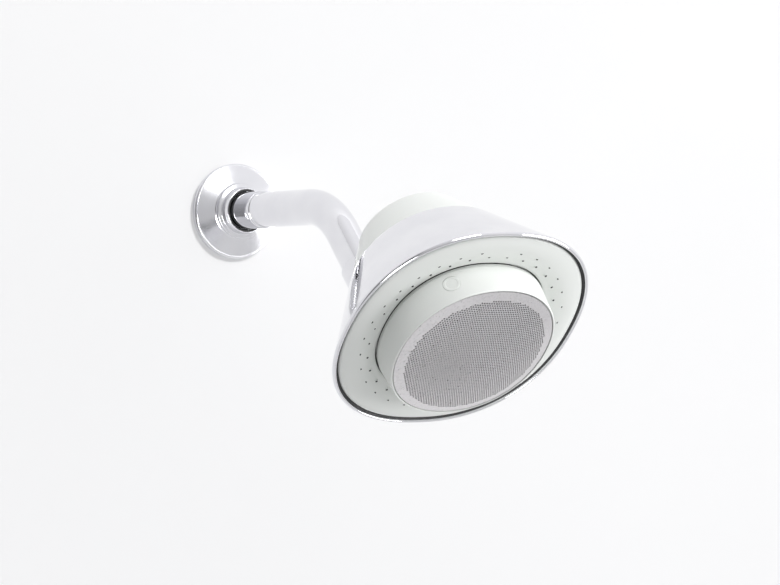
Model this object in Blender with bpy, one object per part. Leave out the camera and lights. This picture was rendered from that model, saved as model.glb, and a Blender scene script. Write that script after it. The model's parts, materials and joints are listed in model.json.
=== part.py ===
"""Shower head with a removable wireless speaker in its middle, on a wall arm.

Frame: X to the right seen from the room, -Y into the room, +Z up. The origin is on the arm's
axis at the wall. Sizes below are in millimetres and MM turns them into metres.

The head is built in its own frame, which the empty "head_frame" holds: x to the right, y towards
the top of the face, z out of the face, with z = 0 at the outer nozzles. Turned pieces are
outlines of (radius, z, squareness): squareness 2 is a circle and more is a rounded square.
"""

import math

import bmesh
import bpy
from mathutils import Matrix, Vector

MM = 0.001
GAP = 0.35                     # clearance between neighbouring pieces
BODY_STEPS = 30                # sides of the head's and the speaker's outlines
ROUND_STEPS = 20               # sides of the small round pieces
STEP_PHASE = 0.25              # share of a step that keeps the outlines' edges clear of the nozzles

# Wall arm: half-inch pipe, level out of the wall, then bent down towards the head
PIPE_RADIUS = 10.6
PIPE_END_RADIUS = 9.95
PIPE_BORE = 8.2
PIPE_STEPS = 18
THREAD_RADIUS = 10.3
THREAD_GROOVE = 0.7
THREAD_PITCH = 2.6
THREAD_TURNS = 5
WALL_DEPTH = 20.0              # arm behind the wall's face
COLLAR_RADIUS = 11.1           # thicker stretch of the arm that the flange slides on
COLLAR_END = 38.0
LEVEL_RUN = 93.0
BEND_RADIUS = 54.0
HEAD_PITCH = math.radians(45)  # the arm's end and the head's axis point this far below level
LOWER_RUN = 35.2

# Swivel ball, measured from the ball's centre along the head's axis
BALL_RADIUS = 9.5
BALL_FLAT = 8.0
STEM_RADIUS = 5.0
STEM_LENGTH = 16.0
NUT_RADIUS = 11.6
NUT_APOTHEM = 11.05
NUT_END = 33.8
NUT_FLOOR = 24.6
SWIVEL_BORE = 3.2
ARM_TO_BALL = 26.5             # from the arm's end to the ball's centre
SOCKET_RADIUS = 11.8
LINER_WALL = 0.65
LINER_GAP = 0.3

# Head, from the ball's centre
HEAD_OFFSET = 52.5             # the head's axis lies this far from the ball, towards the face's top
HEAD_DROP = 70.0               # and the nozzles this far in front of it
NECK_RADIUS = 13.2
NECK_END = -16.0                # deep enough to run out inside the shell's cone
DUCT_OFFSET = 57.1             # water duct's distance from the head's axis
DUCT_HALF_DEPTH = 3.6
DUCT_HALF_WIDTH = 9.0
DUCT_WALL = 1.2
DUCT_END = -17.3
SHELL_BACK = -50.0
COVER_BACK = -78.0
COVER_BACK_RADIUS = 30.6
OUTER_RING = 59.6              # nozzle rings
INNER_RING = 54.55
NOZZLES_PER_RING = 30
NOZZLE_RADIUS = 1.05
NOZZLE_BORE = 0.65
NOZZLE_SIDES = 5

# Dock and speaker pod
DOCK_LEDGE = -44.5
WELL_FLOOR = -61.0
WELL_RADIUS = 27.0
MAGNET_RING = 32.2
MAGNET_RADIUS = 3.2
POD_BACK = -43.9
POD_BASE_HALF = 47.7
POD_FRONT_HALF = 47.3
POD_SIDE_HEIGHT = 17.2
RIM_TOP = 16.6
GRILLE_HALF = 45.8
GRILLE_RISE = 6.6
MIC_OFFSET = 36.8
BUTTON_ANGLE = math.radians(123)
BUTTON_HEIGHT = 5.2
BUTTON_RADIUS = 4.7
PORT_OFFSET = 14.0
DRIVER_BOLT_RING = 40.4
COVER_BOLT_RING = 20.0

COLOURS = {                    # name: (colour, roughness, metallic)
    "chrome": ((0.80, 0.80, 0.83), 0.08, 1.0),
    "white_plastic": ((0.80, 0.82, 0.80), 0.35, 0.0),
    "inner_plastic": ((0.62, 0.64, 0.63), 0.5, 0.0),
    "black_plastic": ((0.03, 0.03, 0.03), 0.45, 0.0),
    "bearing_plastic": ((0.86, 0.84, 0.76), 0.4, 0.0),
    "white_silicone": ((0.76, 0.78, 0.76), 0.55, 0.0),
    "rubber": ((0.02, 0.02, 0.02), 0.7, 0.0),
    "grille_metal": ((0.55, 0.54, 0.55), 0.3, 1.0),
    "steel": ((0.55, 0.56, 0.58), 0.3, 1.0),
    "ferrite": ((0.08, 0.08, 0.085), 0.6, 0.0),
    "cloth": ((0.03, 0.03, 0.03), 0.9, 0.0),
    "paper": ((0.05, 0.05, 0.05), 0.8, 0.0),
    "copper": ((0.75, 0.38, 0.2), 0.35, 1.0),
    "board": ((0.02, 0.16, 0.07), 0.5, 0.0),
    "battery_wrap": ((0.05, 0.12, 0.35), 0.4, 0.0),
}


def clear_scene():
    for thing in list(bpy.data.objects):
        bpy.data.objects.remove(thing)


def make_materials():
    made = {}
    for name, (colour, roughness, metallic) in COLOURS.items():
        material = bpy.data.materials.new(name)
        material.use_nodes = True
        shader = material.node_tree.nodes["Principled BSDF"]
        shader.inputs["Base Color"].default_value = (*colour, 1)
        shader.inputs["Roughness"].default_value = roughness
        shader.inputs["Metallic"].default_value = metallic
        made[name] = material
    return made


def frame_empty(name, origin, matrix=Matrix.Identity(3)):
    """An empty that places the pieces parented to it; origin in millimetres."""
    empty = bpy.data.objects.new(name, None)
    bpy.context.collection.objects.link(empty)
    empty.matrix_world = Matrix.Translation(Vector(origin) * MM) @ matrix.to_4x4()
    return empty


def add_object(name, shape, material, parent=None, at=(0, 0, 0), turn=(0, 0, 0)):
    """Turn a bmesh in millimetres into a smooth-shaded object with one material."""
    bmesh.ops.scale(shape, vec=(MM, MM, MM), verts=shape.verts)
    bmesh.ops.recalc_face_normals(shape, faces=shape.faces)
    mesh = bpy.data.meshes.new(name)
    shape.to_mesh(mesh)
    shape.free()
    mesh.shade_smooth()
    mesh.set_sharp_from_angle(angle=math.radians(35))
    return place_mesh(name, mesh, material, parent, at, turn)


def place_mesh(name, mesh, material, parent=None, at=(0, 0, 0), turn=(0, 0, 0)):
    piece = bpy.data.objects.new(name, mesh)
    if not mesh.materials:
        mesh.materials.append(MATERIALS[material])
    bpy.context.collection.objects.link(piece)
    piece.parent = parent
    piece.location = Vector(at) * MM
    piece.rotation_euler = turn
    return piece


def squareness_factor(angle, power):
    """Radius of a rounded square whose flat sides are at 1, in the direction of angle."""
    return (abs(math.cos(angle)) ** power + abs(math.sin(angle)) ** power) ** (-1 / power)


def turned(outline, steps=ROUND_STEPS):
    """Sweep an outline of (radius, z) or (radius, z, squareness) points around the z axis.

    An outline that starts and ends on the axis makes a solid; any other one closes on itself.
    """
    shape = bmesh.new()
    rings = []
    for point in outline:
        radius, z = point[0], point[1]
        power = point[2] if len(point) > 2 else 2.0
        if radius == 0:
            rings.append([shape.verts.new((0, 0, z))])
            continue
        ring = []
        for step in range(steps):
            angle = 2 * math.pi * (step + STEP_PHASE) / steps
            reach = radius * squareness_factor(angle, power)
            ring.append(shape.verts.new((reach * math.cos(angle), reach * math.sin(angle), z)))
        rings.append(ring)
    pairs = list(zip(rings, rings[1:]))
    if outline[0][0] > 0:
        pairs.append((rings[-1], rings[0]))
    for low, high in pairs:
        for step in range(steps):
            after = (step + 1) % steps
            corners = [low[step % len(low)], low[after % len(low)],
                       high[after % len(high)], high[step % len(high)]]
            shape.faces.new(dict.fromkeys(corners))
    return shape


def tube(outer, inner, low, high, steps=ROUND_STEPS):
    return turned([(outer, low), (outer, high), (inner, high), (inner, low)], steps)


def disc(radius, low, high, steps=ROUND_STEPS):
    return turned([(0, low), (radius, low), (radius, high), (0, high)], steps)


def block(size, centre):
    """A box with its size and centre given along x, y and z."""
    shape = bmesh.new()
    bmesh.ops.create_cube(shape, size=1)
    bmesh.ops.scale(shape, vec=size, verts=shape.verts)
    bmesh.ops.translate(shape, vec=centre, verts=shape.verts)
    return shape


def slot_solid(half_width, half_depth, low, high, arc_steps=5):
    """A prism with round ends, wide along x."""
    shape = bmesh.new()
    ring = []
    for side in (1, -1):
        for step in range(arc_steps + 1):
            angle = side * (math.pi / 2) - math.pi * step / arc_steps
            straight = (half_width - half_depth) * side
            point = (straight + side * abs(math.cos(angle)) * half_depth,
                     math.sin(angle) * half_depth, low)
            ring.append(shape.verts.new(point))
    base = shape.faces.new(ring)
    top = bmesh.ops.extrude_face_region(shape, geom=[base])["geom"]
    moved = [item for item in top if isinstance(item, bmesh.types.BMVert)]
    bmesh.ops.translate(shape, vec=(0, 0, high - low), verts=moved)
    return shape


def merged(*shapes):
    """Several bmeshes in one, for a cutter of separate bodies."""
    whole = bmesh.new()
    for shape in shapes:
        spare = bpy.data.meshes.new("spare")
        bmesh.ops.recalc_face_normals(shape, faces=shape.faces)
        shape.to_mesh(spare)
        shape.free()
        whole.from_mesh(spare)
        bpy.data.meshes.remove(spare)
    return whole


def moved(shape, x=0.0, y=0.0, z=0.0):
    bmesh.ops.translate(shape, vec=(x, y, z), verts=shape.verts)
    return shape


def cut(piece, shape, operation="DIFFERENCE", parent=None):
    """Boolean a bmesh, given in the parent frame's millimetres, into a piece."""
    tool = add_object(piece.name + "_tool", shape, "steel", parent)
    tool.hide_render = True
    tool.display_type = "WIRE"
    step = piece.modifiers.new(operation.lower(), "BOOLEAN")
    step.operation = operation
    step.object = tool


def screw(name, parent, at, turn, head_radius, head_height, shank_radius, shank_length):
    """Pan-head screw with its head's underside at the given place and its shank along -z."""
    sides = 8
    outline = [(0, -shank_length), (shank_radius, -shank_length + shank_radius), (shank_radius, 0),
               (head_radius, 0), (head_radius * 0.8, head_height), (0, head_height)]
    mesh = bpy.data.meshes.get(name.rstrip("0123456789"))
    if mesh is None:
        piece = add_object(name, turned(outline, sides), "steel", parent, at, turn)
        piece.data.name = name.rstrip("0123456789")
        return piece
    return place_mesh(name, mesh, "steel", parent, at, turn)


def around(radius, count, first_angle=0.0):
    """Points evenly round a circle."""
    for index in range(count):
        angle = first_angle + 2 * math.pi * index / count
        yield radius * math.cos(angle), radius * math.sin(angle)


# Places that the driving sizes give

def arm_point(distance):
    """Place on the arm's centre line, as (y, z), and its direction below level."""
    bend_length = BEND_RADIUS * HEAD_PITCH
    if distance <= LEVEL_RUN:
        return -distance, 0.0, 0.0
    turn = min((distance - LEVEL_RUN) / BEND_RADIUS, HEAD_PITCH)
    y = -(LEVEL_RUN + BEND_RADIUS * math.sin(turn))
    z = -BEND_RADIUS * (1 - math.cos(turn))
    beyond = max(0.0, distance - LEVEL_RUN - bend_length)
    return y - beyond * math.cos(turn), z - beyond * math.sin(turn), turn


ARM_LENGTH = LEVEL_RUN + BEND_RADIUS * HEAD_PITCH + LOWER_RUN
FACE_OUT = Vector((0, -math.cos(HEAD_PITCH), -math.sin(HEAD_PITCH)))
FACE_UP = Vector((0, -math.sin(HEAD_PITCH), math.cos(HEAD_PITCH)))
ARM_TIP = Vector((0, *arm_point(ARM_LENGTH)[:2]))
BALL_CENTRE = ARM_TIP + FACE_OUT * ARM_TO_BALL
HEAD_CENTRE = BALL_CENTRE + FACE_OUT * HEAD_DROP + FACE_UP * HEAD_OFFSET
HEAD_AXES = Matrix((Vector((1, 0, 0)), FACE_UP, FACE_OUT)).transposed()


def shell_radius(z):
    """Half width of the chrome shell's outer face at a height on its cone."""
    return 46.3 + (z - SHELL_BACK) * (70.2 - 46.3) / (-7.0 - SHELL_BACK)


def cover_radius(z):
    """Half width of the white rear cover's side."""
    return COVER_BACK_RADIUS + (z - COVER_BACK) * 0.55


def dock_radius(z):
    """Half width of the dock's inner wall."""
    if z > -16:
        return 43.9 + (z + 16) * 0.36
    return 43.9 + (z + 16) * 0.25


# Wall arm and flange

def build_arm():
    shape = bmesh.new()
    outer = [(-WALL_DEPTH, THREAD_RADIUS - THREAD_GROOVE)]
    for turn in range(THREAD_TURNS):
        crest = -WALL_DEPTH + THREAD_PITCH * (turn + 0.5)
        outer.append((crest, THREAD_RADIUS))
        outer.append((crest + THREAD_PITCH / 2, THREAD_RADIUS - THREAD_GROOVE))
    outer += [(-5.5, THREAD_RADIUS), (-5.0, COLLAR_RADIUS), (COLLAR_END - 0.5, COLLAR_RADIUS),
              (COLLAR_END, PIPE_RADIUS)]
    bend_steps = 7
    bend_length = BEND_RADIUS * HEAD_PITCH
    for step in range(bend_steps + 1):
        share = step / bend_steps
        radius = PIPE_RADIUS + (PIPE_END_RADIUS - PIPE_RADIUS) * share
        outer.append((LEVEL_RUN + bend_length * share, radius))
    outer.append((ARM_LENGTH, PIPE_END_RADIUS))
    inner = [(place, PIPE_BORE) for place, _ in reversed(outer) if place >= LEVEL_RUN]
    inner.append((-WALL_DEPTH, PIPE_BORE))
    rings = []
    for distance, radius in outer + inner:
        y, z, slope = arm_point(distance)
        across = Vector((0, -math.sin(slope), math.cos(slope)))
        ring = []
        for step in range(PIPE_STEPS):
            angle = 2 * math.pi * step / PIPE_STEPS
            spot = Vector((radius * math.cos(angle), y, z)) + across * radius * math.sin(angle)
            ring.append(shape.verts.new(spot))
        rings.append(ring)
    for ring, following in zip(rings, rings[1:] + rings[:1]):
        for step in range(PIPE_STEPS):
            after = (step + 1) % PIPE_STEPS
            shape.faces.new((ring[step], ring[after], following[after], following[step]))
    add_object("shower_arm", shape, "chrome")


def build_flange():
    facing_room = (math.radians(90), 0, 0)
    outline = [(28.4, 0.0), (28.5, 2.4), (28.1, 3.3), (27.3, 3.6), (17.4, 7.0), (16.6, 7.4),
               (16.4, 9.2), (15.6, 10.1), (14.3, 10.5), (14.0, 12.6), (13.4, 15.6), (12.9, 16.0),
               (12.9, 14.2), (11.5, 14.0), (11.5, 8.0), (15.0, 5.0), (26.6, 2.2), (26.6, 0.0)]
    add_object("wall_flange", turned(outline, 28), "chrome", turn=facing_room)
    ring = [(12.6, 15.0), (12.3, 16.2), (11.6, 16.2), (11.42, 15.4), (11.6, 14.5), (12.4, 14.5)]
    add_object("flange_oring", turned(ring), "rubber", turn=facing_room)


# Swivel joint

def sphere_arc(radius, first, last, count):
    """Outline points on a sphere, at angles measured from the arm's side of the ball."""
    points = []
    for step in range(count + 1):
        angle = math.radians(first + (last - first) * step / count)
        points.append((radius * math.sin(angle), -radius * math.cos(angle)))
    return points


def build_swivel(ball_frame):
    start = math.degrees(math.asin(STEM_RADIUS / BALL_RADIUS))
    end = 180 - math.degrees(math.acos(BALL_FLAT / BALL_RADIUS))
    outline = [(NUT_RADIUS, -NUT_END), (NUT_RADIUS, -STEM_LENGTH - 2.0),
               (STEM_RADIUS + 5, -STEM_LENGTH), (STEM_RADIUS, -STEM_LENGTH)]
    outline += sphere_arc(BALL_RADIUS, start, end, 6)
    outline += [(SWIVEL_BORE, BALL_FLAT), (SWIVEL_BORE, -20.5), (5.4, -20.5), (5.4, -NUT_FLOOR),
                (PIPE_END_RADIUS + GAP, -NUT_FLOOR), (PIPE_END_RADIUS + GAP, -NUT_END)]
    ball = add_object("swivel_ball", turned(outline), "chrome", ball_frame)
    flats = []
    for side in range(6):
        flat = block((20, 14, 14), (NUT_APOTHEM + 10, 0, -NUT_END + 6))
        bmesh.ops.rotate(flat, matrix=Matrix.Rotation(math.radians(60 * side), 3, "Z"),
                         verts=flat.verts)
        flats.append(flat)
    cut(ball, merged(*flats), parent=ball_frame)

    add_object("inlet_washer", tube(PIPE_END_RADIUS, 6.2, -26.2, -25.0), "rubber", ball_frame)
    screen = add_object("inlet_filter", disc(5.8, -25.9, -25.3, 12), "steel", ball_frame)
    holes = [disc(1.1, -27, -24, 6)]
    holes += [moved(disc(1.1, -27, -24, 6), x, y) for x, y in around(3.6, 6)]
    cut(screen, merged(*holes), parent=ball_frame)
    add_object("flow_disc", tube(5.05, 1.8, -24.2, -21.0), "bearing_plastic", ball_frame)

    inner_low = BALL_RADIUS + LINER_GAP
    outer_low = inner_low + LINER_WALL + LINER_GAP
    for name, low, opening in (("ball_liner_inner", inner_low, 46.0),
                               ("ball_liner_outer", outer_low, 47.5)):
        outline = sphere_arc(low + LINER_WALL, opening, 118, 5)
        outline += reversed(sphere_arc(low, opening, 118, 5))
        add_object(name, turned(outline), "bearing_plastic", ball_frame)

    nut = [(13.4, -8.2), (14.6, -7.6), (15.2, -6.6), (15.2, 1.7), (13.55, 1.7), (13.55, -0.4)]
    nut += reversed(sphere_arc(SOCKET_RADIUS, 51.6, 86, 4))
    nut += [(8.1, -8.2)]
    add_object("retaining_nut", turned(nut), "chrome", ball_frame)
    seal = [(6.1, 8.0), (7.0, 8.7), (6.3, 9.5), (5.3, 9.2), (5.2, 8.5)]
    add_object("ball_seal", turned(seal), "rubber", ball_frame)


# Head

def body_envelope(margin):
    """The closed outside of the shell and the rear cover, grown by a margin."""
    outline = [(0, COVER_BACK - margin), (COVER_BACK_RADIUS + margin, COVER_BACK - margin),
               (cover_radius(SHELL_BACK) + margin, SHELL_BACK - margin),
               (shell_radius(SHELL_BACK) + margin, SHELL_BACK - margin, 2.13),
               (shell_radius(-7.0) + margin, -7.0, 2.24), (0, -7.0)]
    return turned(outline, BODY_STEPS)


def build_neck(head):
    y_ball = -HEAD_OFFSET
    neck = add_object("inlet_neck", moved(disc(NECK_RADIUS, -HEAD_DROP, NECK_END), y=y_ball),
                      "chrome", head)
    cut(neck, body_envelope(GAP), parent=head)
    duct = slot_solid(DUCT_HALF_WIDTH, DUCT_HALF_DEPTH, -47, DUCT_END)
    cut(neck, moved(duct, y=-DUCT_OFFSET), "UNION", head)
    socket = turned([(0, -HEAD_DROP - 2), (SOCKET_RADIUS, -HEAD_DROP - 2), (SOCKET_RADIUS, -HEAD_DROP)]
                    + [(radius, z - HEAD_DROP) for radius, z in sphere_arc(SOCKET_RADIUS, 98, 148, 5)]
                    + [(5.8, -57.5), (5.8, -52.2), (0, -52.2)])
    cut(neck, moved(socket, y=y_ball), parent=head)
    bore = slot_solid(DUCT_HALF_WIDTH - DUCT_WALL, DUCT_HALF_DEPTH - DUCT_WALL, -55, DUCT_END + 2)
    cut(neck, moved(bore, y=-DUCT_OFFSET), parent=head)

    gasket = add_object("duct_gasket", moved(slot_solid(DUCT_HALF_WIDTH, DUCT_HALF_DEPTH,
                                                        DUCT_END + 0.3, -16.4), y=-DUCT_OFFSET),
                        "rubber", head)
    opening = slot_solid(DUCT_HALF_WIDTH - DUCT_WALL, DUCT_HALF_DEPTH - DUCT_WALL, -19, -15)
    cut(gasket, moved(opening, y=-DUCT_OFFSET), parent=head)


def build_shell(head):
    outline = [(shell_radius(SHELL_BACK), SHELL_BACK, 2.13), (shell_radius(-2.4), -2.4, 2.26),
               (73.1, -1.6, 2.26), (72.9, -0.8, 2.26), (71.9, 0.1, 2.26), (71.0, -0.5, 2.26),
               (70.7, -4.2, 2.26), (68.2, -7.4, 2.24), (44.4, SHELL_BACK, 2.13)]
    shell = add_object("chrome_shell", turned(outline, BODY_STEPS), "chrome", head)
    opening = slot_solid(DUCT_HALF_WIDTH + GAP, DUCT_HALF_DEPTH + GAP, -46, DUCT_END - 0.2)
    cut(shell, moved(opening, y=-DUCT_OFFSET), parent=head)


def nozzle_places():
    """Places of the nozzles, with the face's height there; the outer one at the very top is left out."""
    places = []
    for index, (x, y) in enumerate(around(OUTER_RING, NOZZLES_PER_RING, math.pi / 2)):
        if index > 0:
            places.append((x, y, 0.0))
    half_pitch = math.pi / NOZZLES_PER_RING
    for x, y in around(INNER_RING, NOZZLES_PER_RING, math.pi / 2 + half_pitch):
        places.append((x, y, -1.5))
    return places


def build_face(head):
    outline = [(70.2, -2.4, 2.26), (69.6, -1.3, 2.26), (67.8, -0.6, 2.24), (62.4, 0.2, 2.05),
               (57.0, -0.6), (51.6, -2.5, 2.2), (48.9, -3.1, 2.22), (48.25, -3.5, 2.22),
               (48.25, -4.05, 2.22), (50.6, -4.05, 2.2), (51.9, -5.2), (51.9, -12.9), (52.9, -12.9), (52.9, -4.4),
               (61.4, -2.4), (61.4, -12.9), (62.7, -12.9),
               (62.7, -3.0), (69.8, -3.6, 2.26)]
    plate = add_object("face_plate", turned(outline, BODY_STEPS), "white_plastic", head)
    holes = [moved(disc(NOZZLE_RADIUS + GAP, -7, 3, NOZZLE_SIDES), x, y) for x, y, _ in nozzle_places()]
    cut(plate, merged(*holes), parent=head)

    base = [(53.3, -6.1), (60.9, -4.1), (60.9, -2.9), (53.3, -4.85)]
    mat = add_object("nozzle_mat", turned(base, BODY_STEPS), "white_silicone", head)
    pegs = [moved(disc(NOZZLE_RADIUS, height - 3.6, height + 0.1, NOZZLE_SIDES), x, y)
            for x, y, height in nozzle_places()]
    cut(mat, merged(*pegs), "UNION", head)
    bores = [moved(disc(NOZZLE_BORE, -9, 3, NOZZLE_SIDES), x, y) for x, y, _ in nozzle_places()]
    cut(mat, merged(*bores), parent=head)

    back = add_object("manifold_back", tube(62.6, 51.9, -16.1, -14.3, BODY_STEPS), "inner_plastic", head)
    inlet = slot_solid(DUCT_HALF_WIDTH - DUCT_WALL, DUCT_HALF_DEPTH - DUCT_WALL, -18, -13)
    cut(back, moved(inlet, y=-DUCT_OFFSET), parent=head)
    add_object("chamber_seal_outer", tube(62.5, 61.5, -14.0, -13.2), "rubber", head)
    add_object("chamber_seal_inner", tube(52.8, 52.0, -14.0, -13.2), "rubber", head)


def build_dock(head):
    wall = 1.5
    outline = [(dock_radius(-4.4), -4.4, 2.2), (dock_radius(-16), -16, 2.13),
               (dock_radius(DOCK_LEDGE), DOCK_LEDGE, 2.1), (WELL_RADIUS, DOCK_LEDGE),
               (WELL_RADIUS, WELL_FLOOR), (0, WELL_FLOOR)]
    outside = [(0, WELL_FLOOR - wall), (WELL_RADIUS + wall, WELL_FLOOR - wall),
               (WELL_RADIUS + wall, DOCK_LEDGE - wall),
               (dock_radius(DOCK_LEDGE) + wall, DOCK_LEDGE - wall, 2.1),
               (dock_radius(-16) + wall, -16.8, 2.13), (dock_radius(-5.4) + wall, -5.6, 2.2),
               (dock_radius(-4.4) + wall - 0.6, -4.4, 2.2)]
    add_object("dock_cup", turned(outside + outline, BODY_STEPS), "inner_plastic", head)
    low = DOCK_LEDGE - wall - GAP
    for index, (x, y) in enumerate(around(MAGNET_RING, 4, math.pi / 4)):
        magnet = disc(MAGNET_RADIUS, low - 3.0, low, 12)
        add_object(f"dock_magnet_{index + 1}", magnet, "steel", head, at=(x, y, 0))

    edge = cover_radius(SHELL_BACK + 1.6) - 2.2
    cover = [(0, COVER_BACK), (COVER_BACK_RADIUS - 1.8, COVER_BACK),
             (COVER_BACK_RADIUS - 0.5, COVER_BACK + 0.5), (COVER_BACK_RADIUS + 0.6, COVER_BACK + 1.5),
             (cover_radius(SHELL_BACK - 0.3), SHELL_BACK - 0.3), (43.9, SHELL_BACK - 0.2),
             (43.9, SHELL_BACK + 1.6), (edge, SHELL_BACK + 1.6), (edge - 2.2, SHELL_BACK - 1.8),
             (COVER_BACK_RADIUS - 1.8, COVER_BACK + 2.2), (0, COVER_BACK + 2.2)]
    rear = add_object("rear_cover", turned(cover, BODY_STEPS), "white_plastic", head)
    tools = []
    drain_angles = [quarter * 90 + offset for quarter in range(4) for offset in (-14, 14)]
    for angle in drain_angles:
        if abs(angle - 270) > 20:
            drain = disc(0.8, 36, 50, 8)
            bmesh.ops.rotate(drain, matrix=Matrix.Rotation(math.radians(90), 3, "Y"), verts=drain.verts)
            bmesh.ops.rotate(drain, matrix=Matrix.Rotation(math.radians(angle), 3, "Z"),
                             verts=drain.verts)
            tools.append(moved(drain, z=-55))
    for x, y in around(COVER_BOLT_RING, 4, math.pi / 4):
        tools.append(moved(disc(1.5, COVER_BACK - 1, COVER_BACK + 4, 8), x, y))
    cut(rear, merged(*tools), parent=head)
    for index, (x, y) in enumerate(around(COVER_BOLT_RING, 4, math.pi / 4)):
        screw(f"cover_screw_{index + 1}", head, (x, y, COVER_BACK - 0.3), (math.pi, 0, 0),
              2.6, 1.5, 1.15, 9.0)


# Speaker pod

def build_pod_shells(head):
    front = [(POD_BASE_HALF - 0.1, -2.0, 2.22), (POD_BASE_HALF, -1.2, 2.22),
             (POD_FRONT_HALF, 16.0, 2.1), (47.0, RIM_TOP, 2.1),
             (46.4, RIM_TOP, 2.1), (46.2, 15.2, 2.1), (44.4, 15.0, 2.1), (44.4, 8.4, 2.1),
             (37.5, 8.4), (37.5, 6.8), (44.9, 6.8, 2.1), (45.1, -1.0, 2.15), (44.6, -3.6, 2.15),
             (47.4, -3.6, 2.2), (47.5, -2.3, 2.2)]
    housing = add_object("front_housing", turned(front, BODY_STEPS), "white_plastic", head)
    place, inward = button_place()
    hole = aimed(disc(BUTTON_RADIUS + GAP, -5.4, 6, 16), place, -inward)
    pilots = [moved(disc(1.0, 5, 10, 8), x, y) for x, y in around(DRIVER_BOLT_RING, 4, math.pi / 4)]
    cut(housing, merged(hole, *pilots), parent=head)

    wall = 1.8
    gap = 0.5
    rear = [(0, POD_BACK), (dock_radius(POD_BACK) - gap - 1.5, POD_BACK, 2.1),
            (dock_radius(POD_BACK + 1.5) - gap, POD_BACK + 1.5, 2.1),
            (dock_radius(-16) - gap, -16, 2.13), (dock_radius(-4.8) - gap, -4.8, 2.2),
            (dock_radius(-4.8) - gap - wall, -4.8, 2.2), (dock_radius(-16) - gap - wall, -15.6, 2.13),
            (dock_radius(POD_BACK) - gap - wall, POD_BACK + wall, 2.1), (0, POD_BACK + wall)]
    back = add_object("rear_housing", turned(rear, BODY_STEPS), "white_plastic", head)
    cut(back, block((10.2, 4.4, 8), (0, -PORT_OFFSET, POD_BACK)), parent=head)
    seal = [(dock_radius(-4.8) - gap - 0.1, -4.5, 2.2), (47.3, -3.9, 2.2), (46.2, -3.9, 2.2),
            (dock_radius(-4.8) - gap - 1.7, -4.5, 2.2)]
    add_object("housing_seal", turned(seal, BODY_STEPS), "rubber", head)
    add_object("keeper_plate", tube(34.0, 28.0, POD_BACK + wall + GAP, POD_BACK + wall + 1.4),
               "steel", head)

    add_object("charge_port", block((9.0, 3.2, 7.0), (0, -PORT_OFFSET, POD_BACK + 4.4)), "steel", head)
    add_object("port_cover", block((13, 8, 1.4), (0, 4.6, -1.0)), "rubber", head,
               at=(0, -PORT_OFFSET - 4.6, POD_BACK))


def grille_height(radius, lift=0.0):
    """Height of the grille's dome at a half width; it falls off faster near its edge."""
    share = radius / GRILLE_HALF
    return RIM_TOP - 0.2 + GRILLE_RISE * (1 - share ** 2.6) + lift


def build_grille(head):
    stops = (0, 16, 28, 37, 42.5, GRILLE_HALF)
    top = [(radius, grille_height(radius), 2.1) for radius in stops]
    under = [(radius, grille_height(radius) - 0.9, 2.1) for radius in reversed(stops)]
    grille = add_object("grille", turned(top + under, BODY_STEPS), "grille_metal", head)
    cut(grille, moved(disc(0.9, 10, 30, 8), y=-MIC_OFFSET), parent=head)
    stops = (0, 22, 35, 43.6)
    top = [(radius, grille_height(radius) - 1.25, 2.1) for radius in stops]
    under = [(radius, grille_height(radius) - 1.6, 2.1) for radius in reversed(stops)]
    add_object("grille_cloth", turned(top + under, BODY_STEPS), "cloth", head)


def build_driver(head):
    basket = [(43.4, 9.1), (43.4, 10.3), (35.4, 10.3), (33.6, 8.4), (23.0, -2.2), (21.0, -2.6),
              (21.0, -4.2), (23.8, -4.2), (35.2, 7.0), (36.6, 9.1)]
    frame = add_object("driver_basket", turned(basket), "black_plastic", head)
    holes = [moved(disc(1.4, 5, 14, 8), x, y) for x, y in around(DRIVER_BOLT_RING, 4, math.pi / 4)]
    cut(frame, merged(*holes), parent=head)
    for index, (x, y) in enumerate(around(DRIVER_BOLT_RING, 4, math.pi / 4)):
        screw(f"driver_screw_{index + 1}", head, (x, y, 10.6), (0, 0, 0), 2.2, 1.4, 0.7, 3.2)
    add_object("driver_gasket", tube(43.2, 42.2, 8.65, 8.85), "rubber", head)
    add_object("top_plate", tube(20.4, 11.6, -4.6, -2.6), "steel", head)
    add_object("magnet_ring", tube(19.6, 12.0, -10.6, -4.9), "ferrite", head)
    yoke = [(0, -13.6), (19.6, -13.6), (19.6, -10.9), (9.4, -10.9), (9.4, -3.0), (0, -3.0)]
    add_object("pole_yoke", turned(yoke), "steel", head)
    coil = tube(11.0, 10.0, -8.0, 0.9)
    add_object("voice_coil", coil, "copper", head)
    cone = [(11.4, 1.3), (10.2, 1.9), (27.6, 9.6), (28.4, 10.9), (29.2, 10.9), (28.6, 9.2)]
    add_object("driver_cone", turned(cone), "paper", head)
    cap = [(0, 6.6), (5.6, 5.8), (9.6, 3.6), (9.3, 2.9), (5.2, 5.2), (0, 6.0)]
    add_object("dust_cap", turned(cap), "paper", head)
    surround = [(35.0, 10.7), (33.7, 12.6), (32.3, 13.0), (30.7, 12.6), (29.6, 11.2), (30.3, 11.0),
                (32.3, 12.3), (34.1, 10.7)]
    add_object("surround", turned(surround), "rubber", head)
    spider = [(20.6, -1.4), (16.2, -0.9), (11.4, -0.1), (11.4, 0.4), (16.2, -0.4), (21.0, -0.9)]
    add_object("spider", turned(spider), "cloth", head)
    add_object("microphone", disc(3.0, 13.6, 16.0, 12), "black_plastic", head, at=(0, -MIC_OFFSET, 0))


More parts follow.
